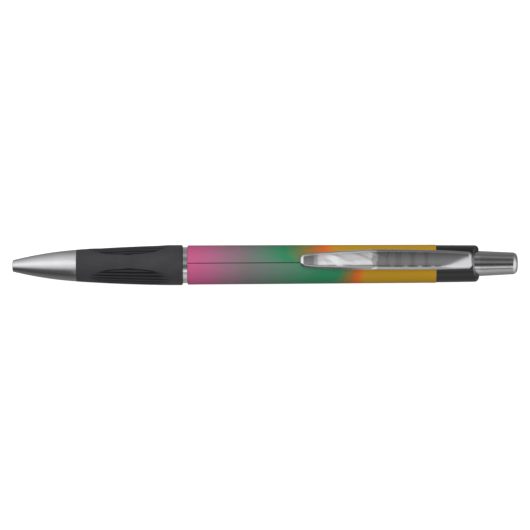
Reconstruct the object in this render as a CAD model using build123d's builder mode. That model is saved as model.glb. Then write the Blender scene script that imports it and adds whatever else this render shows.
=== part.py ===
"""Retractable ball pen with a rubber grip, a printed barrel and a chrome pocket clip.

The pen lies along X with its writing end at -X and its clip on top (+Z).
Distances called "station" are measured along the axis from the nose tip, in millimetres.
The origin is under the middle of the pen, on the surface that the grip rests on.
"""
from build123d import *
from math import cos, radians, sin, sqrt, tan
import os

# ---------------------------------------------------------------- driving dimensions
overall_length = 142.0
grip_radius = 5.65                 # the widest part of the pen, and what it rests on
axis_height = grip_radius

# stations where the outside pieces meet
nose_mid_station = 9.0
nose_end = 18.0
grip_mid_station = 33.0
grip_end = 47.9
ring_end = 49.3
barrel_end = 119.0
collar_end = 131.1

# outside radii
nose_tip_radius = 1.70
nose_mid_radius = 3.44             # at nose_mid_station
nose_base_radius = 4.47
grip_front_radius = 4.50
grip_mid_radius = 5.33             # at grip_mid_station
ring_radius = 5.09
barrel_front_radius = 5.54
barrel_rear_radius = 5.38
collar_front_radius = 5.25
collar_rear_radius = 5.16
button_base_radius = 3.54
button_top_radius = 3.10

# writing end
nose_bore_radius = 1.25
nose_land_end = 5.0
nose_throat_radius = 1.65
spring_seat = 9.0
spring_bore_radius = 2.30
spigot_radius = 3.20
spigot_end = 24.0
thread_pitch = 1.0
thread_depth = 0.15

# grip and its core
core_radius = 3.95
core_front_bore = 3.25
core_rear_bore = 2.75
core_bore_step = 24.5
core_end = 57.0
grip_land_start = 44.6
grip_corner = 0.45
panel_station = 32.8
panel_half_length = 11.4
panel_half_angle = 36.5
panel_turn = -2.0                  # the moulded panels sit slightly turned against the clip
panel_count = 3
groove_pitch = 11.7                # degrees
groove_width = 0.52
groove_depth = 0.50

# barrel
film_thickness = 0.10
barrel_bore = 4.50
barrel_edge = 0.30
bush_bore = 4.00
bush_end = 58.5
seam_angle = 5.30                  # degrees from the clip plane
seam_width = 0.22

# collar
collar_spigot_start = 114.0
collar_spigot_bore = 3.95
button_bore = 3.62
guide_end = 121.0
collar_edge = 1.2
scoop_offset = 9.3                 # centre of the scoop past the collar's end
scoop_height = 7.84                # centre of the scoop above the axis
horn_height = 0.9                  # where the scoop leaves the collar's end
slot_start = 124.2
slot_end = 128.3
slot_width = 2.6
slot_floor = 4.05

# pocket clip
clip_tip = 80.9
clip_butt = 129.05
pad_end = 85.4
bend_station = 102.8
pad_top = 6.60
pad_bottom = 5.66
bend_top = 8.00
bend_bottom = 7.20
butt_top = 6.20
butt_bottom = 5.50
clip_tip_flat = 0.65               # half the width of the flat end at the tip
clip_tip_corner = 1.15
clip_butt_corner = 1.25
clip_plan = [                      # distance from the tip, half width
    (clip_tip_corner, clip_tip_flat + clip_tip_corner),
    (2.6, 2.00),
    (5.6, 2.28),
    (12.7, 2.67),
    (23.0, 2.87),
    (34.0, 2.80),
    (41.0, 2.68),
]
clip_butt_half_width = 2.36
clip_edge = 0.28
butt_edge_limit = 3.0              # the short edges round the butt stay sharp
foot_start = 124.5
foot_end = 128.0
foot_width = 2.2
foot_bottom = 4.25

# push button
cap_start = 127.5
cap_taper_start = 131.4
cap_taper_end = 140.5
cap_corner = 1.2
cap_cavity = 2.95
cap_cavity_end = 136.0
cap_tip_cavity = 2.40
cap_tip_cavity_end = 140.3

# click mechanism
tooth_count = 8
tooth_radius = 2.10
tooth_height = 0.706
tooth_clearance = 0.12
tooth_lead = 18.0                  # degrees the rotor turns while the button is pressed
rotor_tooth_tip = 113.0
rotor_start = 105.0
rotor_socket_radius = 1.61
rotor_socket_end = 108.05
slot_count = 4
rib_radius = 2.95
rib_half_angle = 8.0
rib_root = 1.75                    # where the ribs start inside the stem
rotor_rib_start = 108.6
rotor_rib_end = 112.2
guide_start = 103.5
guide_radius = 3.90
guide_slot_radius = 3.03
guide_land_radius = 2.33
guide_land_start = 108.6
guide_slot_end = 119.6
guide_slot_low = -8.5
guide_slot_high = 21.0
pusher_rib_start = 114.3
pusher_rib_end = 119.4

# refill
refill_point = 1.2
ball_radius = 0.50
ball_socket_radius = 0.53
point_face = 1.5
point_face_radius = 0.64
point_cone_end = 4.2
point_radius = 1.15
ink_channel_radius = 0.30
tube_start = 12.0
tube_end = 108.0
tube_radius = 1.55
tube_bore = 1.15
point_plug_end = 14.5
ink_end = 90.0
grease_end = 93.0
filling_radius = 1.14
ear_start = 29.05
ear_length = 1.4
ear_reach = 2.15
ear_width = 1.0

# return spring
spring_wire = 0.40
spring_mean_radius = 2.00
spring_end = 29.0
spring_turns = 11

os.makedirs("parts", exist_ok=True)

# ---------------------------------------------------------------- shared planes and axes
tip = (-overall_length / 2, 0, axis_height)
profile_plane = Plane(origin=tip, x_dir=(1, 0, 0), z_dir=(0, -1, 0))
pen_axis = Axis(tip, (1, 0, 0))


def across(station):
    """The plane across the pen at a station: its x points along +Y and its y up at the clip."""
    return Plane(origin=(station - overall_length / 2, 0, axis_height), x_dir=(0, 1, 0), z_dir=(1, 0, 0))


def outward(angle, radius=0.0):
    """A plane square to the radius at an angle from the clip plane, turned about +X.

    Its x runs back along the pen from the nose tip, and its normal points outward.
    """
    lean = radians(angle)
    normal = (0, -sin(lean), cos(lean))
    origin = (-overall_length / 2, radius * normal[1], axis_height + radius * normal[2])
    return Plane(origin=origin, x_dir=(1, 0, 0), z_dir=normal)


def finish(piece, name):
    """Label a finished piece and write it."""
    piece.label = name
    export_step(piece, f"parts/{name}.step")


def rim_point(radius, angle):
    """Point of a plane across the pen at an angle from the clip plane, turned about +X."""
    return (-radius * sin(radians(angle)), radius * cos(radians(angle)))


def sectors(radius, low, high, inner):
    """Ring sectors in a plane across the pen, one for each slot of the click mechanism."""
    with BuildSketch() as faces:
        for index in range(slot_count):
            turn = index * 360 / slot_count
            first = turn + low
            last = turn + high
            middle = (first + last) / 2
            with BuildLine():
                Line(rim_point(inner, first), rim_point(radius, first))
                ThreePointArc(rim_point(radius, first), rim_point(radius, middle), rim_point(radius, last))
                Line(rim_point(radius, last), rim_point(inner, last))
                ThreePointArc(rim_point(inner, last), rim_point(inner, middle), rim_point(inner, first))
            make_face()
    return faces.sketch


def crown_notches(tooth_tip, direction, turn):
    """V notches that leave a crown of teeth pointing along direction, centred on angle turn."""
    pitch = 360 / tooth_count
    half = tooth_radius * tan(radians(pitch / 2)) * 0.98
    floor = tooth_tip - direction * tooth_height
    with BuildPart() as notches:
        for index in range(tooth_count):
            with BuildSketch(outward(turn + index * pitch)):
                with BuildLine():
                    Polyline(
                        (tooth_tip, half),
                        (floor, 0),
                        (tooth_tip, -half),
                        (tooth_tip + direction, -half),
                        (tooth_tip + direction, half),
                        close=True,
                    )
                make_face()
            extrude(amount=2 * tooth_radius)
    return notches.part


# ---------------------------------------------------------------- nose cone
with BuildPart() as nose_cone:
    with BuildSketch(profile_plane):
        with BuildLine():
            Line((0, nose_bore_radius), (0, nose_tip_radius - 0.35))
            RadiusArc((0, nose_tip_radius - 0.35), (0.35, nose_tip_radius), 0.36)
            ThreePointArc(
                (0.35, nose_tip_radius),
                (nose_mid_station, nose_mid_radius),
                (nose_end, nose_base_radius),
            )
            Polyline(
                (nose_end, nose_base_radius),
                (nose_end, spigot_radius),
                (spigot_end, spigot_radius),
                (spigot_end, spring_bore_radius),
                (spring_seat, spring_bore_radius),
                (spring_seat, nose_throat_radius),
                (nose_land_end + 0.5, nose_throat_radius),
                (nose_land_end, nose_bore_radius),
                (0, nose_bore_radius),
            )
        make_face()
    revolve(axis=pen_axis)
    with BuildSketch(profile_plane):
        for turn_index in range(4):
            groove = nose_end + 1.6 + turn_index * thread_pitch
            with BuildLine():
                Polyline(
                    (groove - 0.3, spigot_radius + 0.1),
                    (groove, spigot_radius - thread_depth),
                    (groove + 0.3, spigot_radius + 0.1),
                    close=True,
                )
            make_face()
    revolve(axis=pen_axis, mode=Mode.SUBTRACT)
finish(nose_cone.part, "nose_cone")

# ---------------------------------------------------------------- grip core
with BuildPart() as grip_core:
    with BuildSketch(profile_plane):
        with BuildLine():
            Polyline(
                (nose_end, core_front_bore),
                (nose_end, core_radius),
                (core_end - 0.4, core_radius),
                (core_end, core_radius - 0.4),
                (core_end, core_rear_bore),
                (core_bore_step, core_rear_bore),
                (core_bore_step, core_front_bore),
                close=True,
            )
        make_face()
    revolve(axis=pen_axis)
    with BuildSketch(profile_plane):
        for turn_index in range(6):
            groove = ring_end + 1.5 + turn_index * thread_pitch
            with BuildLine():
                Polyline(
                    (groove - 0.3, core_radius + 0.1),
                    (groove, core_radius - thread_depth),
                    (groove + 0.3, core_radius + 0.1),
                    close=True,
                )
            make_face()
    revolve(axis=pen_axis, mode=Mode.SUBTRACT)
finish(grip_core.part, "grip_core")

# ---------------------------------------------------------------- grip sleeve
# The grooves of the panels all have the same depth under the sleeve's surface, so their
# cutters are radial slots trimmed by a ring that follows that surface.
with BuildPart() as groove_cutter:
    for panel in range(panel_count):
        for step in range(-3, 4):
            lean = step * groove_pitch
            reach = panel_half_length * sqrt(1 - (lean / panel_half_angle) ** 2)
            turn = 60 + panel * 360 / panel_count + panel_turn + lean
            with BuildSketch(outward(turn)):
                with Locations((panel_station, 0)):
                    SlotOverall(2 * reach, groove_width)
            extrude(amount=grip_radius + 1)
    with BuildSketch(profile_plane):
        with BuildLine():
            ThreePointArc(
                (nose_end, grip_front_radius - groove_depth),
                (grip_mid_station, grip_mid_radius - groove_depth),
                (grip_land_start, grip_radius - groove_depth),
            )
            Polyline(
                (grip_land_start, grip_radius - groove_depth),
                (grip_land_start, grip_radius + 1),
                (nose_end, grip_radius + 1),
                (nose_end, grip_front_radius - groove_depth),
            )
        make_face()
    revolve(axis=pen_axis, mode=Mode.INTERSECT)

with BuildPart() as grip_sleeve:
    with BuildSketch(profile_plane):
        with BuildLine():
            Line((nose_end, core_radius), (nose_end, grip_front_radius))
            ThreePointArc(
                (nose_end, grip_front_radius),
                (grip_mid_station, grip_mid_radius),
                (grip_land_start, grip_radius),
            )
            Line((grip_land_start, grip_radius), (grip_end - grip_corner, grip_radius))
            RadiusArc(
                (grip_end - grip_corner, grip_radius),
                (grip_end, grip_radius - grip_corner),
                grip_corner,
            )
            Polyline(
                (grip_end, grip_radius - grip_corner),
                (grip_end, core_radius),
                (nose_end, core_radius),
            )
        make_face()
    revolve(axis=pen_axis)
    add(groove_cutter.part, mode=Mode.SUBTRACT)
finish(grip_sleeve.part, "grip_sleeve")

# ---------------------------------------------------------------- trim ring
with BuildPart() as trim_ring:
    with BuildSketch(profile_plane):
        with Locations(((grip_end + ring_end) / 2, (core_radius + ring_radius) / 2)):
            Rectangle(ring_end - grip_end, ring_radius - core_radius)
    revolve(axis=pen_axis)
    chamfer(trim_ring.edges().filter_by(GeomType.CIRCLE).group_by(SortBy.RADIUS)[-1], 0.12)
finish(trim_ring.part, "trim_ring")

# ---------------------------------------------------------------- thread bush
with BuildPart() as thread_bush:
    with BuildSketch(profile_plane):
        with Locations(((ring_end + bush_end) / 2, (bush_bore + barrel_bore) / 2)):
            Rectangle(bush_end - ring_end, barrel_bore - bush_bore)
    revolve(axis=pen_axis)
    chamfer(thread_bush.edges().filter_by(GeomType.CIRCLE).group_by(SortBy.RADIUS)[0], 0.2)
finish(thread_bush.part, "thread_bush")

# ---------------------------------------------------------------- barrel tube
tube_front = barrel_front_radius - film_thickness
tube_rear = barrel_rear_radius - film_thickness
lip_radius = tube_front - barrel_edge
with BuildPart() as barrel:
    with BuildSketch(profile_plane):
        with BuildLine():
            Line((ring_end, barrel_bore), (ring_end, lip_radius))
            RadiusArc((ring_end, lip_radius), (ring_end + barrel_edge, tube_front), barrel_edge)
            Polyline(
                (ring_end + barrel_edge, tube_front),
                (barrel_end, tube_rear),
                (barrel_end, barrel_bore),
                (ring_end, barrel_bore),
            )
        make_face()
    revolve(axis=pen_axis)
finish(barrel.part, "barrel")

# ---------------------------------------------------------------- printed wrap
with BuildPart() as print_wrap:
    with BuildSketch(profile_plane):
        with BuildLine():
            Line((ring_end, lip_radius), (ring_end - film_thickness, lip_radius))
            RadiusArc(
                (ring_end - film_thickness, lip_radius),
                (ring_end + barrel_edge, barrel_front_radius),
                barrel_edge + film_thickness,
            )
            Polyline(
                (ring_end + barrel_edge, barrel_front_radius),
                (barrel_end, barrel_rear_radius),
                (barrel_end, tube_rear),
                (ring_end + barrel_edge, tube_front),
            )
            RadiusArc((ring_end, lip_radius), (ring_end + barrel_edge, tube_front), barrel_edge)
        make_face()
    revolve(axis=pen_axis)
    with BuildSketch(outward(seam_angle)):
        with Locations(((ring_end + barrel_end) / 2, 0)):
            Rectangle(barrel_end - ring_end + 2, seam_width)
    extrude(amount=barrel_front_radius + 1, mode=Mode.SUBTRACT)
finish(print_wrap.part, "print_wrap")

# ---------------------------------------------------------------- collar
with BuildPart() as collar:
    with BuildSketch(profile_plane):
        with BuildLine():
            Polyline(
                (collar_spigot_start, collar_spigot_bore),
                (collar_spigot_start, barrel_bore),
                (barrel_end, barrel_bore),
                (barrel_end, collar_front_radius),
                (collar_end - collar_edge, collar_rear_radius),
            )
            RadiusArc(
                (collar_end - collar_edge, collar_rear_radius),
                (collar_end, collar_rear_radius - collar_edge),
                collar_edge,
            )
            Polyline(
                (collar_end, collar_rear_radius - collar_edge),
                (collar_end, button_bore),
                (guide_end, button_bore),
                (guide_end, collar_spigot_bore),
                (collar_spigot_start, collar_spigot_bore),
            )
        make_face()
    revolve(axis=pen_axis)
    with BuildSketch(profile_plane):
        scoop_radius = sqrt(scoop_offset ** 2 + (scoop_height - horn_height) ** 2)
        with Locations((collar_end + scoop_offset, scoop_height)):
            Circle(scoop_radius)
    extrude(amount=2 * collar_front_radius, both=True, mode=Mode.SUBTRACT)
    with BuildSketch(outward(0, slot_floor)):
        with Locations(((slot_start + slot_end) / 2, 0)):
            RectangleRounded(slot_end - slot_start, slot_width, 0.3)
    extrude(amount=collar_front_radius - slot_floor + 1, mode=Mode.SUBTRACT)
finish(collar.part, "collar")

# ---------------------------------------------------------------- pocket clip
with BuildPart() as clip:
    with BuildSketch(profile_plane):
        with BuildLine():
            Polyline((clip_butt, butt_bottom), (clip_butt, butt_top), (bend_station + 2, bend_top - 0.06))
            ThreePointArc(
                (bend_station + 2, bend_top - 0.06),
                (bend_station, bend_top + 0.02),
                (bend_station - 2, bend_top - 0.09),
            )
            Polyline(
                (bend_station - 2, bend_top - 0.09),
                (pad_end, pad_top),
                (clip_tip, pad_top),
                (clip_tip, pad_bottom + 0.3),
                (clip_tip + 1.0, pad_bottom),
                (pad_end - 0.6, pad_bottom + 0.02),
                (pad_end + 1.0, pad_bottom + 0.32),
                (bend_station, bend_bottom),
                (foot_end + 0.2, butt_bottom),
                (clip_butt, butt_bottom),
            )
        make_face()
    extrude(amount=4, both=True)
    with BuildSketch(outward(0)):
        with BuildLine():
            right = Spline(
                *[(clip_tip + distance, half_width) for distance, half_width in clip_plan],
                (clip_butt - clip_butt_corner, clip_butt_half_width),
            )
            RadiusArc(right @ 1, (clip_butt, clip_butt_half_width - clip_butt_corner), clip_butt_corner)
            Line((clip_butt, clip_butt_half_width - clip_butt_corner), (clip_butt, 0))
            Line((clip_tip, 0), (clip_tip, clip_tip_flat))
            RadiusArc((clip_tip, clip_tip_flat), right @ 0, clip_tip_corner)
            mirror(about=Plane.XZ)
        make_face()
    extrude(amount=12, mode=Mode.INTERSECT)
    tops = clip.faces().filter_by(lambda face: face.normal_at().Z > 0.5)
    sides = clip.faces().filter_by(lambda face: abs(face.normal_at().Z) < 0.3)
    outline = tops.edges() & sides.edges()
    fillet(outline.filter_by(lambda edge: edge.length > butt_edge_limit), clip_edge)
    with BuildSketch(outward(0, foot_bottom)):
        with Locations(((foot_start + foot_end) / 2, 0)):
            RectangleRounded(foot_end - foot_start, foot_width, 0.25)
    extrude(amount=butt_bottom - foot_bottom + 0.2)
finish(clip.part, "clip")

# ---------------------------------------------------------------- push button cap
with BuildPart() as button_cap:
    with BuildSketch(profile_plane):
        with BuildLine():
            Polyline(
                (cap_start, cap_cavity),
                (cap_start, button_base_radius - 0.15),
                (cap_start + 0.15, button_base_radius),
                (cap_taper_start, button_base_radius),
                (cap_taper_end, button_top_radius),
            )
            ThreePointArc(
                (cap_taper_end, button_top_radius),
                (overall_length - 0.42, button_top_radius - 0.40),
                (overall_length, button_top_radius - cap_corner),
            )
            Polyline(
                (overall_length, button_top_radius - cap_corner),
                (overall_length, 0),
                (cap_tip_cavity_end, 0),
                (cap_tip_cavity_end, cap_tip_cavity),
                (cap_cavity_end, cap_tip_cavity),
                (cap_cavity_end, cap_cavity),
                (cap_start, cap_cavity),
            )
        make_face()
    revolve(axis=pen_axis)
finish(button_cap.part, "button_cap")

# ---------------------------------------------------------------- pusher
pusher_tooth_tip = rotor_tooth_tip - tooth_height + tooth_clearance
pusher_tooth_tip += tooth_height * tooth_lead / (180 / tooth_count)
pusher_notches = crown_notches(pusher_tooth_tip, -1, 180 / tooth_count)
with BuildPart() as pusher:
    with BuildSketch(profile_plane):
        with BuildLine():
            Polyline(
                (pusher_tooth_tip, 0),
                (pusher_tooth_tip, tooth_radius),
                (cap_start, tooth_radius),
                (cap_start, cap_cavity - 0.05),
                (cap_cavity_end - 0.1, cap_cavity - 0.05),
                (cap_cavity_end - 0.1, cap_tip_cavity - 0.05),
                (cap_tip_cavity_end - 0.2, cap_tip_cavity - 0.05),
                (cap_tip_cavity_end - 0.2, 0),
                close=True,
            )
        make_face()
    revolve(axis=pen_axis)
    add(pusher_notches, mode=Mode.SUBTRACT)
    with BuildSketch(across(pusher_rib_start)):
        add(sectors(rib_radius, -rib_half_angle, rib_half_angle, rib_root))
    extrude(amount=pusher_rib_end - pusher_rib_start)
finish(pusher.part, "pusher")

# ---------------------------------------------------------------- cam rotor
rotor_notches = crown_notches(rotor_tooth_tip, 1, -tooth_lead)
with BuildPart() as cam_rotor:
    with BuildSketch(profile_plane):
        with BuildLine():
            Polyline(
                (rotor_start, rotor_socket_radius),
                (rotor_start, tooth_radius),
                (rotor_tooth_tip, tooth_radius),
                (rotor_tooth_tip, 0),
                (rotor_socket_end, 0),
                (rotor_socket_end, rotor_socket_radius),
                close=True,
            )
        make_face()
    revolve(axis=pen_axis)
    add(rotor_notches, mode=Mode.SUBTRACT)
    with BuildSketch(across(rotor_rib_start)):
        add(sectors(rib_radius, -rib_half_angle, rib_half_angle, rib_root))
    extrude(amount=rotor_rib_end - rotor_rib_start)
finish(cam_rotor.part, "cam_rotor")

# ---------------------------------------------------------------- cam guide
with BuildPart() as cam_guide:
    with BuildSketch(profile_plane):
        with BuildLine():
            Polyline(
                (guide_start, guide_slot_radius),
                (guide_start, guide_radius),
                (guide_end, guide_radius),
                (guide_end, guide_land_radius),
                (guide_land_start, guide_land_radius),
                (guide_land_start, guide_slot_radius),
                close=True,
            )
        make_face()
    revolve(axis=pen_axis)
    with BuildSketch(across(guide_land_start)):
        add(sectors(guide_slot_radius, guide_slot_low, guide_slot_high, 1.0))
    extrude(amount=guide_slot_end - guide_land_start, mode=Mode.SUBTRACT)
finish(cam_guide.part, "cam_guide")

# ---------------------------------------------------------------- return spring
with BuildPart() as return_spring:
    first = spring_seat + spring_wire / 2
    last = spring_end - spring_wire / 2
    with BuildLine():
        coil = Helix(
            pitch=(last - first) / spring_turns,
            height=last - first,
            radius=spring_mean_radius,
            center=(first - overall_length / 2, 0, axis_height),
            direction=(1, 0, 0),
        )
    with BuildSketch(Plane(origin=coil @ 0, z_dir=coil % 0)):
        Circle(spring_wire / 2)
    sweep(is_frenet=True)
finish(return_spring.part, "return_spring")

# ---------------------------------------------------------------- refill tube
with BuildPart() as refill_tube:
    with BuildSketch(profile_plane):
        with Locations(((tube_start + tube_end) / 2, (tube_bore + tube_radius) / 2)):
            Rectangle(tube_end - tube_start, tube_radius - tube_bore)
    revolve(axis=pen_axis)
    with BuildSketch(across(ear_start)):
        Rectangle(ear_width, 2 * ear_reach)
        Circle(tube_radius - 0.1, mode=Mode.SUBTRACT)
    extrude(amount=ear_length)
finish(refill_tube.part, "refill_tube")

# ---------------------------------------------------------------- refill fillings


def filling(start, end, name):
    """A plug of ink or grease inside the refill tube."""
    with BuildPart() as plug:
        with BuildSketch(across(start)):
            Circle(filling_radius)
        extrude(amount=end - start)
    finish(plug.part, name)
    return plug


refill_ink = filling(point_plug_end, ink_end, "refill_ink")
refill_grease = filling(ink_end, grease_end, "refill_grease")

# ---------------------------------------------------------------- refill tip and ball
ball_station = refill_point + ball_radius
with BuildPart() as refill_tip:
    with BuildSketch(profile_plane):
        with BuildLine():
            Polyline(
                (point_face, 0),
                (point_face, point_face_radius),
                (point_cone_end, point_radius),
                (tube_start, point_radius),
                (tube_start, filling_radius),
                (point_plug_end, filling_radius),
                (point_plug_end, ink_channel_radius),
                (ball_station, ink_channel_radius),
                (ball_station, 0),
                close=True,
            )
        make_face()
    revolve(axis=pen_axis)
    with Locations((ball_station - overall_length / 2, 0, axis_height)):
        Sphere(ball_socket_radius, mode=Mode.SUBTRACT)
finish(refill_tip.part, "refill_tip")

with BuildPart() as refill_ball:
    with Locations((ball_station - overall_length / 2, 0, axis_height)):
        Sphere(ball_radius)
finish(refill_ball.part, "refill_ball")
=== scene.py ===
"""Looks of the retractable ball pen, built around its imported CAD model.

Lengths given as numbers are millimetres and go through MM. A "station" is the distance along the
axis from the nose tip. A "turn" is an angle round the axis from the clip, in degrees, towards -Y.
"""
import math

import bmesh
import bpy
from mathutils import Matrix, Vector


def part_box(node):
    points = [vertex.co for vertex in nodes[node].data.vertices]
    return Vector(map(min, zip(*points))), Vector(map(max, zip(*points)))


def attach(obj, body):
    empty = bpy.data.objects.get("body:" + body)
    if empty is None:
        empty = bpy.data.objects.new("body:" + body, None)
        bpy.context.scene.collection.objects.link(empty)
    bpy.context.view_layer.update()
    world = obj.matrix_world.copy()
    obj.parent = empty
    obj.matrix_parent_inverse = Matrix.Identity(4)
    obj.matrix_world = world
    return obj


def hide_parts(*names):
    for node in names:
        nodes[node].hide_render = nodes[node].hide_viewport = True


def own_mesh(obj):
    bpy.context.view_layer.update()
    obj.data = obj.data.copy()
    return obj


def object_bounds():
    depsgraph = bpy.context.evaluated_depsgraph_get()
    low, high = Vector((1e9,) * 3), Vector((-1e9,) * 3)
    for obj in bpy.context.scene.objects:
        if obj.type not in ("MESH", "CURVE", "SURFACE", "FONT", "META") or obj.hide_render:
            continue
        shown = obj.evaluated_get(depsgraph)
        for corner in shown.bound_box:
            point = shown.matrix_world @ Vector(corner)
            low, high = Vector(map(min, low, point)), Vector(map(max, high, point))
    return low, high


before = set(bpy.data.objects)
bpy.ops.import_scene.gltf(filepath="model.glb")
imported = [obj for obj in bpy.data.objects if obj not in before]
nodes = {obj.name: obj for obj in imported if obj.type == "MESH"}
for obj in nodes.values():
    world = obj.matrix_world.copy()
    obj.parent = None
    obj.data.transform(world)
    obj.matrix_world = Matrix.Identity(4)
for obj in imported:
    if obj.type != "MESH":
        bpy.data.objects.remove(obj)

cad_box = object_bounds()
MM = 0.001

nose_low, nose_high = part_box("nose_cone")
grip_low, grip_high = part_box("grip_sleeve")
clip_low, clip_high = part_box("clip")
spring_low, spring_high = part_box("return_spring")
tip_x = nose_low.x
axis_z = (nose_low.z + nose_high.z) / 2


def station(x):
    """Distance from the nose tip, in millimetres, of a place along X in metres."""
    return (x - tip_x) / MM


def place(distance, radius, turn):
    """Point at a station, a radius from the axis and a turn from the clip."""
    angle = math.radians(turn)
    return Vector((
        tip_x + distance * MM,
        -radius * MM * math.sin(angle),
        axis_z + radius * MM * math.cos(angle),
    ))


def smooth(low, high, value):
    """0 below low, 1 above high, and an even S between them."""
    share = min(max((value - low) / (high - low), 0.0), 1.0)
    return share * share * (3 - 2 * share)


def linear(red, green, blue):
    """Screen colour, 0 to 255 each, as the linear colour that the nodes take."""
    channels = []
    for level in (red, green, blue):
        part = level / 255
        channels.append(part / 12.92 if part <= 0.04045 else ((part + 0.055) / 1.055) ** 2.4)
    return (*channels, 1.0)


SEAM_TURN = 5.3
# point attribute of painted shade: how much darker the grip is coloured in its grooves, panel rims
# and sunk panels
GROOVE_SHADE_MARK = "groove_shade_mark"


# ---------------------------------------------------------------- node materials
class Look:
    """A node material that is written one node at a time."""

    def __init__(self, name):
        self.material = bpy.data.materials.new(name)
        self.material.use_nodes = True
        self.tree = self.material.node_tree
        self.shader = self.tree.nodes["Principled BSDF"]
        self.places = None

    def node(self, kind, **settings):
        made = self.tree.nodes.new(kind)
        for key, value in settings.items():
            setattr(made, key, value)
        return made

    def feed(self, socket, value):
        """Set a socket, or link it when the value is another node's output."""
        if isinstance(value, bpy.types.NodeSocket):
            self.tree.links.new(value, socket)
        else:
            socket.default_value = value

    def set(self, **values):
        """Values of the shader's own sockets, with _ for a space in their names."""
        for key, value in values.items():
            self.feed(self.shader.inputs[key.replace("_", " ")], value)

    def math(self, operation, first, second=0.0, clamp=False):
        made = self.node("ShaderNodeMath", operation=operation, use_clamp=clamp)
        self.feed(made.inputs[0], first)
        self.feed(made.inputs[1], second)
        return made.outputs[0]

    def axes(self):
        """The piece's own x, y and z in metres, z counted from the pen's axis."""
        if self.places is None:
            coordinates = self.node("ShaderNodeTexCoord")
            split = self.node("ShaderNodeSeparateXYZ")
            self.feed(split.inputs[0], coordinates.outputs["Object"])
            height = self.math("SUBTRACT", split.outputs[2], axis_z)
            self.places = (split.outputs[0], split.outputs[1], height)
        return self.places

    def distance(self):
        """Station in millimetres."""
        shifted = self.math("SUBTRACT", self.axes()[0], tip_x)
        return self.math("DIVIDE", shifted, MM)

    def turn(self):
        """Turn from the clip, -180 to 180 degrees, towards -Y."""
        _, side, height = self.axes()
        other = self.math("MULTIPLY", side, -1.0)
        angle = self.math("ARCTAN2", other, height)
        return self.math("MULTIPLY", angle, 180 / math.pi)

    def along_round(self, along, around):
        """Vector for textures that run round the pen: along and around scale its two directions."""
        joined = self.node("ShaderNodeCombineXYZ")
        _, side, height = self.axes()
        self.feed(joined.inputs[0], self.math("MULTIPLY", self.axes()[0], along))
        self.feed(joined.inputs[1], self.math("MULTIPLY", side, around))
        self.feed(joined.inputs[2], self.math("MULTIPLY", height, around))
        return joined.outputs[0]

    def noise(self, vector, scale=1.0, detail=3.0, roughness=0.5):
        made = self.node("ShaderNodeTexNoise")
        self.feed(made.inputs["Vector"], vector)
        made.inputs["Scale"].default_value = scale
        made.inputs["Detail"].default_value = detail
        made.inputs["Roughness"].default_value = roughness
        return made.outputs["Fac"]

    def ramp(self, factor, stops, kind="LINEAR"):
        made = self.node("ShaderNodeValToRGB")
        made.color_ramp.interpolation = kind
        points = made.color_ramp.elements
        while len(points) < len(stops):
            points.new(1.0)
        for point, (where, colour) in zip(points, stops):
            point.position = where
            point.color = colour if isinstance(colour, tuple) else (colour, colour, colour, 1.0)
        self.feed(made.inputs[0], factor)
        return made.outputs[0]

    def mix(self, factor, first, second):
        made = self.node("ShaderNodeMix", data_type="RGBA")
        self.feed(made.inputs["Factor"], factor)
        self.feed(made.inputs[6], first)
        self.feed(made.inputs[7], second)
        return made.outputs[2]

    def bump(self, height, distance):
        made = self.node("ShaderNodeBump")
        made.inputs["Distance"].default_value = distance
        self.feed(made.inputs["Height"], height)
        self.feed(self.shader.inputs["Normal"], made.outputs[0])


def plated(name, colour, roughness, along, around, ridge, wear):
    """Plated metal: polishing lines in its bump, and a haze of finer and rougher patches."""
    look = Look(name)
    lines = look.noise(look.along_round(along, around), 1.0, 4.0, 0.6)
    haze = look.noise(look.along_round(260, 260), 1.0, 3.0)
    duller = (*(0.93 * part for part in colour[:3]), 1.0)
    tint = look.ramp(haze, [(0.3, colour), (0.75, duller)])
    look.set(Base_Color=tint, Metallic=1.0)
    look.set(Roughness=look.ramp(haze, [(0.25, roughness), (0.8, roughness + wear)]))
    look.bump(lines, ridge)
    return look.material


def moulded(name, dark, light, roughness, grain, depth, coat=0.0, subsurface=0.0):
    """Moulded plastic: a fine grain, and slow changes of shade from the flow of the melt."""
    look = Look(name)
    flow = look.noise(look.along_round(90, 220), 1.0, 2.0)
    fine = look.noise(look.along_round(grain, grain), 1.0, 3.0, 0.6)
    look.set(Base_Color=look.ramp(flow, [(0.3, dark), (0.75, light)]))
    look.set(Roughness=look.ramp(fine, [(0.3, roughness), (0.75, roughness + 0.12)]))
    look.set(Coat_Weight=coat, Coat_Roughness=0.12, Subsurface_Weight=subsurface)
    look.set(Subsurface_Scale=0.001)
    look.bump(fine, depth)
    return look.material


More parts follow.
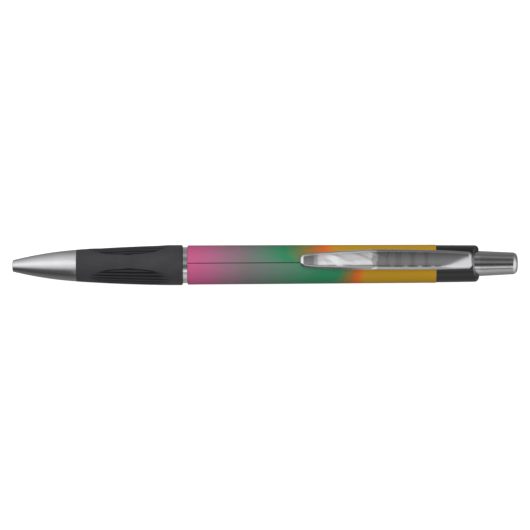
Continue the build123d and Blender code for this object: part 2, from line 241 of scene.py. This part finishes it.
def printed_film():
    """The wrap's slanted sweep of colour: pink, grey, green, orange and yellow, under lacquer.

    Pink fades to grey over the same length all round. The lines where green is full, where it
    ends, where orange is full and where yellow is full drift as the film goes round from one side
    of its seam to the other, so that the colours don't meet at the seam.
    """
    look = Look("printed_film")
    film_start = station(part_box("print_wrap")[0].x)
    grey_line = 66.0
    drift_width = 2.0
    wrapped = look.math("SUBTRACT", SEAM_TURN + 720, look.turn())
    share = look.math("DIVIDE", look.math("MODULO", wrapped, 360.0), 360.0)

    def line(marks):
        """Station of a line of the print, from its hundredths at shares of the way round."""
        return look.math("MULTIPLY", look.ramp(share, marks, "EASE"), 100.0)

    green_line = line([
        (0.0, 0.785), (0.07, 0.764), (0.5, 0.765), (0.8, 0.835), (0.88, 0.862), (1.0, 0.892),
    ])
    leave_line = line([
        (0.0, 0.790), (0.07, 0.765), (0.5, 0.800), (0.8, 0.900), (0.9, 0.918), (1.0, 0.928),
    ])
    orange_line = line([(0.0, 0.882), (0.16, 0.876), (0.5, 0.902), (0.8, 0.972), (1.0, 0.978)])
    yellow_line = line([(0.0, 0.952), (0.16, 0.945), (0.5, 0.960), (0.8, 1.010), (1.0, 1.016)])

    distance = look.distance()
    ripple = look.noise(look.along_round(60, 120), 1.0, 2.0)
    drift = look.math("MULTIPLY", look.math("SUBTRACT", ripple, 0.5), drift_width)
    distance = look.math("ADD", distance, drift)

    def part(low, high):
        """0 to 1 between two lines of the print."""
        past = look.math("SUBTRACT", distance, low)
        return look.math("DIVIDE", past, look.math("SUBTRACT", high, low), clamp=True)

    sweep = look.math("ADD", part(film_start, grey_line), part(grey_line, green_line))
    sweep = look.math("ADD", sweep, part(leave_line, orange_line))
    sweep = look.math("ADD", sweep, part(orange_line, yellow_line))
    colour = look.ramp(look.math("DIVIDE", sweep, 4.0), [
        (0.000, linear(200, 88, 136)),
        (0.090, linear(178, 97, 134)),
        (0.157, linear(150, 107, 126)),
        (0.250, linear(119, 114, 115)),
        (0.312, linear(104, 121, 112)),
        (0.375, linear(87, 126, 106)),
        (0.437, linear(68, 130, 99)),
        (0.500, linear(42, 132, 91)),
        (0.583, linear(100, 124, 72)),
        (0.667, linear(162, 114, 50)),
        (0.720, linear(208, 108, 40)),
        (0.750, linear(226, 106, 34)),
        (0.790, linear(220, 122, 32)),
        (0.860, linear(202, 147, 32)),
        (1.000, linear(195, 150, 28)),
    ])
    speckle = look.noise(look.along_round(5200, 5200), 1.0, 2.0)
    shade = look.ramp(speckle, [(0.3, 0.94), (0.7, 1.0)])
    multiply = look.node("ShaderNodeMix", data_type="RGBA", blend_type="MULTIPLY")
    multiply.inputs["Factor"].default_value = 1.0
    look.feed(multiply.inputs[6], colour)
    look.feed(multiply.inputs[7], shade)
    look.set(Base_Color=multiply.outputs[2], Roughness=0.5, IOR=1.4)
    look.set(Specular_IOR_Level=0.35, Coat_Weight=0.08, Coat_Roughness=0.3)
    peel = look.noise(look.along_round(900, 900), 1.0, 2.0)
    look.bump(peel, 0.000004)
    return look.material


def rubber():
    """Soft black grip rubber, with painted shade: grey on what stands proud, near black down in the
    grooves.
    """
    look = Look("grip_rubber")
    fine = look.noise(look.along_round(9000, 9000), 1.0, 3.0, 0.65)
    cloud = look.noise(look.along_round(180, 320), 1.0, 3.0)
    groove = look.node("ShaderNodeAttribute", attribute_name=GROOVE_SHADE_MARK)
    # painted shade: the marked grooves, rims and sunk panels take the far darker colour
    proud_colour = look.ramp(cloud, [(0.3, linear(52, 52, 55)), (0.75, linear(60, 60, 64))])
    shade_colour = look.ramp(cloud, [(0.3, linear(14, 14, 16)), (0.75, linear(18, 18, 20))])
    look.set(Base_Color=look.mix(groove.outputs["Fac"], proud_colour, shade_colour))
    look.set(Roughness=look.ramp(fine, [(0.3, 0.5), (0.7, 0.66)]))
    look.set(Sheen_Weight=0.08, Sheen_Roughness=0.5, IOR=1.4)
    look.bump(fine, 0.000012)
    return look.material


def ink_paste():
    """Blue ink, nearly black where it is thick."""
    look = Look("ink_paste")
    flow = look.noise(look.along_round(120, 500), 1.0, 3.0)
    look.set(Base_Color=look.ramp(flow, [(0.3, linear(16, 22, 96)), (0.75, linear(22, 30, 120))]))
    look.set(Roughness=look.ramp(flow, [(0.3, 0.18), (0.7, 0.3)]), Coat_Weight=0.4)
    look.bump(flow, 0.00001)
    return look.material


def clear_tube():
    """Milky polypropylene tube that lets its ink show through."""
    look = Look("refill_plastic")
    drawn = look.noise(look.along_round(60, 5200), 1.0, 3.0)
    milk = look.ramp(drawn, [(0.3, linear(222, 226, 230)), (0.75, linear(236, 238, 240))])
    look.set(Base_Color=milk)
    look.set(Roughness=look.ramp(drawn, [(0.3, 0.22), (0.75, 0.34)]))
    look.set(Transmission_Weight=0.45, IOR=1.49)
    look.bump(drawn, 0.000006)
    return look.material


def dress(node, material):
    """Give a CAD node its material."""
    for slot in nodes[node].material_slots:
        slot.material = material


chrome_tint = linear(238, 238, 240)
bright_chrome = plated("bright_chrome", chrome_tint, 0.05, along=500, around=1500,
                       ridge=0.0000015, wear=0.05)
satin_chrome = plated("satin_chrome", chrome_tint, 0.09, along=9000, around=300,
                      ridge=0.000003, wear=0.05)
ring_chrome = plated("ring_chrome", linear(232, 234, 232), 0.09, along=14000, around=500,
                     ridge=0.000003, wear=0.06)
tube_metal = plated("tube_metal", linear(62, 62, 64), 0.45, along=400, around=6000,
                    ridge=0.000006, wear=0.1)
brass = plated("turned_brass", linear(214, 178, 112), 0.2, along=12000, around=500,
               ridge=0.000006, wear=0.1)
spring_steel = plated("spring_steel", linear(200, 202, 205), 0.22, along=3000, around=3000,
                      ridge=0.000004, wear=0.1)
carbide = plated("carbide", linear(165, 168, 172), 0.1, along=9000, around=9000,
                 ridge=0.000001, wear=0.05)
black_core = moulded("core_plastic", linear(48, 48, 51), linear(58, 58, 61), 0.45,
                     grain=2600, depth=0.00001)
black_acetal = moulded("mechanism_black", linear(36, 36, 39), linear(46, 46, 50), 0.4,
                       grain=3200, depth=0.000008)
white_acetal = moulded("mechanism_white", linear(226, 223, 212), linear(238, 236, 228), 0.35,
                       grain=3200, depth=0.000008, coat=0.1, subsurface=0.15)
collar_black = moulded("collar_black", linear(21, 22, 24), linear(26, 27, 29), 0.2,
                       grain=1500, depth=0.000002, coat=0.6)
grease = moulded("grease", linear(206, 190, 142), linear(220, 206, 160), 0.2,
                 grain=700, depth=0.00001, coat=0.4, subsurface=0.3)

looks = {
    "nose_cone": satin_chrome,
    "grip_core": black_core,
    "trim_ring": ring_chrome,
    "thread_bush": brass,
    "barrel": tube_metal,
    "print_wrap": printed_film(),
    "collar": collar_black,
    "cam_guide": white_acetal,
    "button_cap": bright_chrome,
    "pusher": black_acetal,
    "cam_rotor": white_acetal,
    "refill_tube": clear_tube(),
    "refill_ink": ink_paste(),
    "refill_grease": grease,
    "refill_tip": brass,
    "refill_ball": carbide,
}
for node_name, look_material in looks.items():
    dress(node_name, look_material)


# ---------------------------------------------------------------- meshes
def new_piece(name, points, faces, material, marks=None):
    """A smooth-shaded object from points and faces. marks are the painted groove shade of its
    points.
    """
    mesh = bpy.data.meshes.new(name)
    mesh.from_pydata(points, [], faces)
    if marks is not None:
        mesh.attributes.new(GROOVE_SHADE_MARK, "FLOAT", "POINT").data.foreach_set("value", marks)
    mesh.validate()
    mesh.materials.append(material)
    shell = bmesh.new()
    shell.from_mesh(mesh)
    bmesh.ops.remove_doubles(shell, verts=shell.verts, dist=1e-7)
    bmesh.ops.recalc_face_normals(shell, faces=shell.faces)
    shell.to_mesh(mesh)
    shell.free()
    mesh.shade_smooth()
    piece = bpy.data.objects.new(name, mesh)
    bpy.context.scene.collection.objects.link(piece)
    return piece


def ring_faces(rings, count, closed):
    """Quads between rings of count points, laid one after another. closed joins last to first."""
    faces = []
    for ring in range(rings if closed else rings - 1):
        after = (ring + 1) % rings
        for index in range(count):
            beside = (index + 1) % count
            faces.append((
                ring * count + index,
                ring * count + beside,
                after * count + beside,
                after * count + index,
            ))
    return faces


# ---------------------------------------------------------------- grip sleeve
GRIP_FRONT = station(grip_low.x)
GRIP_REAR = station(grip_high.x)
GRIP_LAND = 44.6          # the sleeve is straight from here to its rear
GRIP_FRONT_RADIUS = 4.50
GRIP_MIDDLE = (33.0, 5.33)
LAND_RADIUS = 5.65
LAND_CORNER = 0.45
PANEL_MIDDLE = 32.8
PANEL_REACH = 12.2        # half length, in millimetres
PANEL_SPREAD = 35.5       # half width, in degrees
PANEL_TURNS = (-62, 58, 178)
PANEL_DEPTH = 0.12
GROOVE_PITCH = 11.7       # in degrees
GROOVE_DEPTH = 0.46
CORE_RADIUS = 3.95


def arc_through(first, middle, last):
    """Height of the circle arc through three points, as a function of the first coordinate."""
    (ax, ay), (bx, by), (cx, cy) = first, middle, last
    d = 2 * (ax * (by - cy) + bx * (cy - ay) + cx * (ay - by))
    squares = [x * x + y * y for x, y in (first, middle, last)]
    ux = (squares[0] * (by - cy) + squares[1] * (cy - ay) + squares[2] * (ay - by)) / d
    uy = (squares[0] * (cx - bx) + squares[1] * (ax - cx) + squares[2] * (bx - ax)) / d
    radius = math.hypot(ax - ux, ay - uy)
    side = 1 if by > uy else -1
    return lambda x: uy + side * math.sqrt(radius * radius - (x - ux) ** 2)


grip_bulge = arc_through((GRIP_FRONT, GRIP_FRONT_RADIUS), GRIP_MIDDLE, (GRIP_LAND, LAND_RADIUS))


def grip_radius(distance):
    """Radius of the plain sleeve at a station."""
    if distance <= GRIP_LAND:
        return grip_bulge(distance)
    past = distance - (GRIP_REAR - LAND_CORNER)
    if past <= 0:
        return LAND_RADIUS
    return LAND_RADIUS - (LAND_CORNER - math.sqrt(max(LAND_CORNER * LAND_CORNER - past * past, 0)))


def panel_shape(distance, turn):
    """Inside the oval ribbed panels: how far down the surface lies, and how much painted shade it
    gets.
    """
    along = (distance - PANEL_MIDDLE) / PANEL_REACH
    if abs(along) > 1.2:
        return 0.0, 0.0
    for middle in PANEL_TURNS:
        lean = (turn - middle + 180) % 360 - 180
        spread = math.hypot(along, lean / PANEL_SPREAD)
        if spread < 1.2:
            inside = 1 - smooth(0.93, 1.03, spread)
            reach = math.sqrt(max(1 - (lean / PANEL_SPREAD) ** 2, 0.01))
            taper = 1 - smooth(0.70, 1.02, abs(along) / reach)
            wave = 0.5 + 0.5 * math.cos(2 * math.pi * lean / GROOVE_PITCH)
            groove = smooth(0.3, 0.9, wave) * taper
            rim = math.exp(-((spread - 0.975) / 0.04) ** 2)
            rim *= 1 - smooth(0.45, 0.85, abs(along))
            deepest = max(groove, rim)
            sunk = inside * (1 - smooth(0.6, 1.0, abs(along)))
            # painted shade: the grooves and the rim get it fully, the sunk panel floor gets less
            shade_mark = min(0.75 * deepest + 0.30 * sunk, 1.0)
            return PANEL_DEPTH * sunk + GROOVE_DEPTH * deepest, shade_mark
    return 0.0, 0.0


def make_grip():
    """The rubber sleeve, closed over its core, with three oval panels of ribs."""
    count = 600
    steps = 150
    outer = [GRIP_FRONT, GRIP_FRONT + 0.12]
    start = GRIP_FRONT + 0.3
    last = GRIP_REAR - LAND_CORNER
    outer += [start + (last - start) * index / steps for index in range(steps + 1)]
    outer += [last + LAND_CORNER * math.sin(math.radians(angle)) for angle in (20, 40, 60, 75, 90)]
    profile = [(GRIP_FRONT, CORE_RADIUS)]
    profile += [(distance, grip_radius(distance)) for distance in outer]
    profile += [(GRIP_REAR, CORE_RADIUS)]
    points = []
    marks = []
    for distance, radius in profile:
        for index in range(count):
            turn = 360 * index / count
            # each point's painted shade mark goes with it into the rubber's colour
            depth, shade_mark = panel_shape(distance, turn) if radius > CORE_RADIUS else (0.0, 0.0)
            points.append(place(distance, radius - depth, turn))
            marks.append(shade_mark)
    faces = ring_faces(len(profile), count, True)
    piece = new_piece("grip_rubber_sleeve", points, faces, rubber(), marks)
    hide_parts("grip_sleeve")
    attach(piece, "housing")


make_grip()


# ---------------------------------------------------------------- pocket clip
CLIP_TIP = station(clip_low.x)
CLIP_BUTT = station(clip_high.x)
CLIP_BEND = 102.8
PAD_END = 85.6
PAD_HEIGHT = 6.6
BEND_HEIGHT = 8.0
BUTT_HEIGHT = 6.2
TIP_CORNER = 1.15
BUTT_CORNER = 1.25
CLIP_THICKNESS = 0.80
CLIP_ROLL = 0.45          # how far the edge drops where it rolls over
ROLL_WIDTH = 0.85
CLIP_CROWN = 0.24         # fall from the middle to the sides, even
CLIP_SHOULDER = 0.20      # and more of it, close to the sides
CLIP_PLAN = [             # distance past the tip, half width
    (0.0, 1.70), (1.2, 1.82), (2.6, 2.00), (5.6, 2.28), (12.7, 2.67),
    (23.0, 2.87), (34.0, 2.80), (41.0, 2.68), (48.2, 2.34),
]
PAD_FLOOR = 5.72
COLLAR_RADIUS = 5.25
COLLAR_GAP = 0.3
CLIP_FOOT = ((124.5, 128.0), (-1.1, 1.1), (4.3, 5.7))
COLLAR_REACH = CLIP_FOOT[0][0] - 8      # behind this the strip is kept clear of the collar
UNDERSIDE_INSET = 0.12    # how much narrower the underside is on each side
THINNEST_STRIP = 0.05
SLANTED_WAVE = 0.010
BAR_WAVE = 0.010
BAR_START = 108.3
BAR_PITCH = 3.95
CREASE_WAVE = 0.0025
CREASE_PITCH = 1.7


def clip_half_width(distance):
    """Half width of the clip at a station, before its ends are rounded."""
    past = distance - CLIP_TIP
    last = len(CLIP_PLAN) - 1
    for index in range(last):
        (x0, y0), (x1, y1) = CLIP_PLAN[index:index + 2]
        if past > x1 and index < last - 1:
            continue
        before = CLIP_PLAN[max(index - 1, 0)]
        after = CLIP_PLAN[min(index + 2, last)]
        width = x1 - x0
        slope0 = (y1 - before[1]) / (x1 - before[0]) * width
        slope1 = (after[1] - y0) / (after[0] - x0) * width
        t = (past - x0) / width
        return (
            (2 * t ** 3 - 3 * t ** 2 + 1) * y0 + (t ** 3 - 2 * t ** 2 + t) * slope0
            + (3 * t ** 2 - 2 * t ** 3) * y1 + (t ** 3 - t ** 2) * slope1
        )


def soft_corner(distance, corner, radius, before, after):
    """Integral of a slope that changes from before to after over radius each side of corner."""
    past = distance - corner
    if past <= -radius:
        return before * past
    if past >= radius:
        return after * past
    middle = (before + after) / 2
    bend = (after - before) / (4 * radius)
    return middle * past + bend * (past * past + radius * radius)


def clip_height(distance):
    """Height of the clip's top above the axis, along its middle."""
    bend_length = 2.4
    pad_bend_length = 1.2
    rise = (BEND_HEIGHT - PAD_HEIGHT) / (CLIP_BEND - PAD_END)
    fall = (BUTT_HEIGHT - BEND_HEIGHT) / (CLIP_BUTT - CLIP_BEND)
    height = BEND_HEIGHT + soft_corner(distance, CLIP_BEND, bend_length, rise, fall)
    if distance < PAD_END + pad_bend_length:
        height -= rise * (distance - PAD_END)
        height += soft_corner(distance, PAD_END, pad_bend_length, 0, rise)
    arch = 0.0
    if distance < CLIP_BEND:
        arch = max(math.sin(math.pi * (distance - PAD_END) / (CLIP_BEND - PAD_END)), 0.0)
    droop = max(distance - (CLIP_BUTT - 10.0), 0.0) / 10.0
    return height + 0.08 * arch ** 2 - 0.3 * droop ** 2


def clip_ripple(distance, side):
    """Shallow waves left by the press: slanted before the bend, bars behind it, creases on it."""
    past = distance - CLIP_BEND
    front = smooth(PAD_END, PAD_END + 3, distance) * (1 - smooth(-1, 3, past))
    rear = smooth(1, 4, past) * (1 - smooth(13, 18, past))
    bent = distance - 1.9 * side + 0.35 * side * side
    slanted = math.sin(2 * math.pi * bent / 6.5) + 0.25 * math.sin(2 * math.pi * bent / 3.1 + 1.0)
    bars = math.sin(2 * math.pi * (distance - BAR_START) / BAR_PITCH)
    near_bend = math.exp(-(past / 2.2) ** 2)
    crease = math.sin(2 * math.pi * distance / CREASE_PITCH)
    waves = SLANTED_WAVE * front * slanted + BAR_WAVE * rear * bars
    return waves + CREASE_WAVE * near_bend * crease


def clip_ends(distance):
    """For each end of the clip: how far it is, and the radius of its corners."""
    return ((distance - CLIP_TIP, TIP_CORNER), (CLIP_BUTT - distance, BUTT_CORNER))


def clip_inset(distance, side):
    """Distance in from the clip's outline."""
    half = clip_half_width(distance)
    edge = half - abs(side)
    for left, corner in clip_ends(distance):
        if left < corner:
            out = max(abs(side) - (half - corner), 0.0)
            edge = min(edge, corner - math.hypot(corner - left, out) if out else left)
    return max(edge, 0.0)


def clip_outline(distance):
    """Half width of the clip at a station with its tip and butt rounded."""
    half = clip_half_width(distance)
    for left, corner in clip_ends(distance):
        if left < corner:
            half -= corner - math.sqrt(max(corner ** 2 - (corner - left) ** 2, 0.0))
    return half


def make_clip():
    """Stamped clip with its foot: crowned on top, rolled over at its edge, flat at its pad."""
    steps = 230
    first = CLIP_TIP + TIP_CORNER
    last = CLIP_BUTT - BUTT_CORNER
    stations = [first - TIP_CORNER * math.cos(math.radians(angle)) for angle in range(0, 91, 6)]
    stations += [first + (last - first) * index / steps for index in range(1, steps)]
    stations += [last + BUTT_CORNER * math.sin(math.radians(angle)) for angle in range(0, 91, 6)]
    shares = [math.sin(math.radians(angle)) for angle in range(-90, 91, 3)]
    columns = len(shares)
    points = []
    for distance in stations:
        half = clip_outline(distance)
        fade = 0.5 + 0.5 * smooth(PAD_END - 1, PAD_END + 5, distance)
        for share in shares:
            side = half * share
            inset = clip_inset(distance, side)
            roll = CLIP_ROLL * max(1 - inset / ROLL_WIDTH, 0.0) ** 2.2
            across = side / clip_half_width(distance)
            crown = CLIP_CROWN * across ** 2 + CLIP_SHOULDER * across ** 6
            top = clip_height(distance) - fade * crown - roll
            top += clip_ripple(distance, side) * smooth(0.0, ROLL_WIDTH, inset)
            points.append(Vector((tip_x + distance * MM, -side * MM, axis_z + top * MM)))
    top_count = len(points)
    for distance in stations:
        half = max(clip_outline(distance) - UNDERSIDE_INSET, 0.0)
        for share in shares:
            side = half * share
            floor = clip_height(distance) - CLIP_THICKNESS
            if distance < PAD_END:
                floor = min(floor, PAD_FLOOR)
            if distance > COLLAR_REACH:
                over_collar = math.sqrt(COLLAR_RADIUS ** 2 - side ** 2) + COLLAR_GAP
                top = (points[len(points) - top_count].z - axis_z) / MM
                floor = min(max(floor, over_collar), top - THINNEST_STRIP)
            points.append(Vector((tip_x + distance * MM, -side * MM, axis_z + floor * MM)))
    faces = []
    for row in range(len(stations) - 1):
        for column in range(columns - 1):
            corner = row * columns + column
            quad = (corner, corner + 1, corner + columns + 1, corner + columns)
            faces.append(quad)
            faces.append(tuple(top_count + index for index in reversed(quad)))
    rim = list(range(columns))
    rim += [row * columns + columns - 1 for row in range(1, len(stations))]
    rim += [(len(stations) - 1) * columns + column for column in range(columns - 2, -1, -1)]
    rim += [row * columns for row in range(len(stations) - 2, 0, -1)]
    for index, corner in enumerate(rim):
        beside = rim[(index + 1) % len(rim)]
        faces.append((corner, top_count + corner, top_count + beside, beside))
    base = len(points)
    for distance in CLIP_FOOT[0]:
        for side in CLIP_FOOT[1]:
            for height in CLIP_FOOT[2]:
                points.append(Vector((tip_x + distance * MM, -side * MM, axis_z + height * MM)))
    box = ((0, 1, 3, 2), (4, 6, 7, 5), (0, 4, 5, 1), (2, 3, 7, 6), (0, 2, 6, 4), (1, 5, 7, 3))
    for quad in box:
        faces.append(tuple(base + index for index in quad))
    piece = new_piece("clip_strip", points, faces, bright_chrome)
    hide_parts("clip")
    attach(piece, "clip")


make_clip()


# ---------------------------------------------------------------- return spring
def make_spring():
    """Wire coil, closed and flat at both ends."""
    wire = 0.2
    mean = 2.0
    front = station(spring_low.x) + wire
    rear = station(spring_high.x) - wire
    turns = 11
    per_turn = 40
    sides = 12
    points = []
    rings = turns * per_turn + 1
    for index in range(rings):
        travel = index / (rings - 1)
        eased = smooth(0.0, 1.0, travel) * 0.35 + travel * 0.65
        distance = front + (rear - front) * eased
        turn = 360 * index / per_turn
        for side in range(sides):
            angle = 2 * math.pi * side / sides
            along = wire * math.sin(angle)
            outward = wire * math.cos(angle)
            points.append(place(distance + along, mean + outward, turn))
    faces = ring_faces(rings, sides, False)
    faces.append(tuple(range(sides)))
    faces.append(tuple((rings - 1) * sides + side for side in reversed(range(sides))))
    piece = new_piece("coil_spring", points, faces, spring_steel)
    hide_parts("return_spring")
    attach(piece, "housing")
    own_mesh(piece)


make_spring()


# ---------------------------------------------------------------- studio
FLOOR_SIZE = 4.0
FLOOR_DROP = 0.0002       # how far the floor is under the pen
LAMP_LENGTH = 0.9         # along the pen


def make_floor():
    """Pale table under the pen, lit from within so that shadows on it stay faint."""
    bpy.ops.mesh.primitive_plane_add(size=FLOOR_SIZE, location=(0, 0, cad_box[0].z - FLOOR_DROP))
    floor = bpy.context.object
    floor.name = "floor"
    look = Look("floor_paper")
    look.set(Base_Color=(0.55, 0.55, 0.55, 1), Roughness=0.9)
    look.set(Emission_Color=(1, 1, 1, 1), Emission_Strength=0.8)
    floor.data.materials.append(look.material)
    floor.visible_glossy = False
    floor.visible_diffuse = False


def make_world():
    """Light tent: panels and dark cards that run along the pen, with one end of it brighter.

    Each side of the tent is a ramp of screen levels round the pen. Which side a surface mirrors
    depends on how far its reflection leans along the pen, so a taper and a rise look different.
    """
    world = bpy.data.worlds.new("tent")
    bpy.context.scene.world = world
    world.use_nodes = True
    tree = world.node_tree
    tree.nodes.clear()

    def add(kind, **settings):
        made = tree.nodes.new(kind)
        for key, value in settings.items():
            setattr(made, key, value)
        return made

    def compute(operation, *values):
        """Math node over numbers and other nodes' outputs."""
        made = add("ShaderNodeMath", operation=operation)
        for socket, value in zip(made.inputs, values):
            if isinstance(value, bpy.types.NodeSocket):
                tree.links.new(value, socket)
            else:
                socket.default_value = value
        return made.outputs[0]

    def spread(source, low, high, first=0.0, last=1.0, kind="LINEAR"):
        """first where the source is below low, last where it is above high, even between them."""
        made = add("ShaderNodeMapRange", interpolation_type=kind)
        limits = {"From Min": low, "From Max": high, "To Min": first, "To Max": last}
        for socket, value in limits.items():
            made.inputs[socket].default_value = value
        tree.links.new(source, made.inputs["Value"])
        return made.outputs[0]

    def ramp(factor, stops):
        """Grey ramp, given as (position, grey)."""
        made = add("ShaderNodeValToRGB")
        points = made.color_ramp.elements
        while len(points) < len(stops):
            points.new(1.0)
        for point, (position, grey) in zip(points, stops):
            point.position = position
            point.color = (grey, grey, grey, 1)
        tree.links.new(factor, made.inputs[0])
        return made.outputs[0]

    def mix(factor, first, second, blend_type="MIX"):
        made = add("ShaderNodeMix", data_type="RGBA", blend_type=blend_type)
        if isinstance(factor, bpy.types.NodeSocket):
            tree.links.new(factor, made.inputs["Factor"])
        else:
            made.inputs["Factor"].default_value = factor
        tree.links.new(first, made.inputs[6])
        tree.links.new(second, made.inputs[7])
        return made.outputs[2]

    coordinates = add("ShaderNodeTexCoord")
    split = add("ShaderNodeSeparateXYZ")
    tree.links.new(coordinates.outputs["Generated"], split.inputs[0])
    along, across, up = split.outputs
    angle = compute("ARCTAN2", compute("MULTIPLY", across, -1.0), up)
    fraction = compute("MULTIPLY_ADD", angle, 1 / (2 * math.pi), 0.5)

    def place_on_ramp(turn):
        return (turn + 180) / 360

    def side(stops):
        """One side of the tent from turn -180 to 180, given as (turn, screen level)."""
        return ramp(fraction, [
            (place_on_ramp(turn), linear(level, level, level)[0]) for turn, level in stops
        ])

    nose_side = side([
        (-180, 115), (-116, 145), (-85, 172), (-62, 200), (-42, 222), (-27, 244), (-16, 255),
        (-2, 250), (10, 232), (26, 205), (36, 160), (48, 108), (57, 82), (77, 76), (87, 68),
        (99, 88), (112, 100), (126, 106), (150, 124), (180, 115),
    ])
    clip_side = side([
        (-180, 115), (-110, 138), (-85, 162), (-60, 205), (-36, 186), (-28, 168), (-22, 190),
        (-15, 208), (-10, 204), (-5, 232), (0, 232), (3, 210), (7, 150), (11, 120), (22, 150),
        (40, 185), (58, 180), (72, 120), (84, 84), (100, 92), (120, 104), (150, 124), (180, 115),
    ])
    button_side = side([
        (-180, 130), (-130, 128), (-108, 114), (-91, 112), (-77, 102), (-65, 116), (-54, 146),
        (-42, 114), (-32, 90), (-24, 92), (-16, 108), (-6, 130), (2, 124), (7, 112), (12, 78),
        (17, 70), (25, 64), (32, 92), (38, 158), (43, 172), (49, 240), (56, 180), (64, 134),
        (72, 174), (84, 188), (92, 180), (102, 156), (115, 140), (135, 132), (155, 120), (180, 120),
    ])
    butt_side = side([
        (-180, 120), (-90, 120), (-60, 150), (-40, 200), (-10, 228), (60, 235), (100, 190),
        (180, 120),
    ])

    def change(first, second, lean, low, high):
        """One side of the tent gives way to the next where lean goes from low to high."""
        return mix(spread(lean, low, high, kind="SMOOTHSTEP"), first, second)

    slant = spread(fraction, place_on_ramp(-40), place_on_ramp(14), -0.103, 0.036)
    tent = change(nose_side, clip_side, along, -0.182, -0.162)
    tent = change(tent, button_side, along, -0.11, -0.02)
    tent = change(tent, butt_side, compute("ADD", along, slant), 0.228, 0.255)

    first_lean, last_lean = -0.15, 0.25
    uprights = [
        (-0.15, 1.0), (-0.047, 1.0), (-0.032, 1.9), (-0.012, 1.9), (0.0, 1.0), (0.136, 1.0),
        (0.148, 0.58), (0.162, 1.0),
    ]
    gains = ramp(spread(along, first_lean, last_lean), [
        ((lean - first_lean) / (last_lean - first_lean), gain) for lean, gain in uprights
    ])
    tent = mix(1.0, tent, gains, "MULTIPLY")

    background = add("ShaderNodeBackground")
    tree.links.new(tent, background.inputs["Color"])
    white = add("ShaderNodeBackground")
    white.inputs["Color"].default_value = (1, 1, 1, 1)
    path = add("ShaderNodeLightPath")
    choose = add("ShaderNodeMixShader")
    tree.links.new(path.outputs["Is Camera Ray"], choose.inputs[0])
    tree.links.new(background.outputs[0], choose.inputs[1])
    tree.links.new(white.outputs[0], choose.inputs[2])
    output = add("ShaderNodeOutputWorld")
    tree.links.new(choose.outputs[0], output.inputs[0])


def make_lamp(name, turn, distance, size, power):
    """Soft lamp at a turn round the pen's axis, which doesn't show in its chrome."""
    data = bpy.data.lights.new(name, "AREA")
    data.shape = "RECTANGLE"
    data.size = LAMP_LENGTH
    data.size_y = size
    data.energy = power
    lamp = bpy.data.objects.new(name, data)
    bpy.context.scene.collection.objects.link(lamp)
    angle = math.radians(turn)
    outward = Vector((0, -math.sin(angle), math.cos(angle)))
    lamp.location = Vector((0, 0, axis_z)) + outward * distance
    lamp.rotation_euler = outward.to_track_quat("Z", "X").to_euler()
    lamp.visible_glossy = False


def make_camera():
    """Long lens over the pen, 10.5 degrees towards -Y from straight above."""
    lean = math.radians(10.5)
    roll = math.radians(-0.3)
    frame_width = 0.1491
    reach = 1.0
    drop = 0.00011
    data = bpy.data.cameras.new("camera")
    data.sensor_width = 36
    data.lens = data.sensor_width * reach / frame_width
    camera = bpy.data.objects.new("camera", data)
    bpy.context.scene.collection.objects.link(camera)
    back = Vector((0, -math.sin(lean), math.cos(lean)))
    up = Vector((0, math.cos(lean), math.sin(lean)))
    centre = Vector((0, 0, axis_z)) - up * drop
    camera.location = centre + back * reach
    aim = Matrix((up.cross(back), up, back)).transposed()
    camera.rotation_euler = (aim @ Matrix.Rotation(roll, 3, "Z")).to_euler()
    bpy.context.scene.camera = camera


make_floor()
make_world()
make_lamp("key_lamp", turn=-34, distance=0.8, size=0.7, power=2.5)
make_lamp("fill_lamp", turn=22, distance=0.9, size=0.5, power=2.3)
make_camera()
bpy.context.scene.view_settings.view_transform = "Standard"
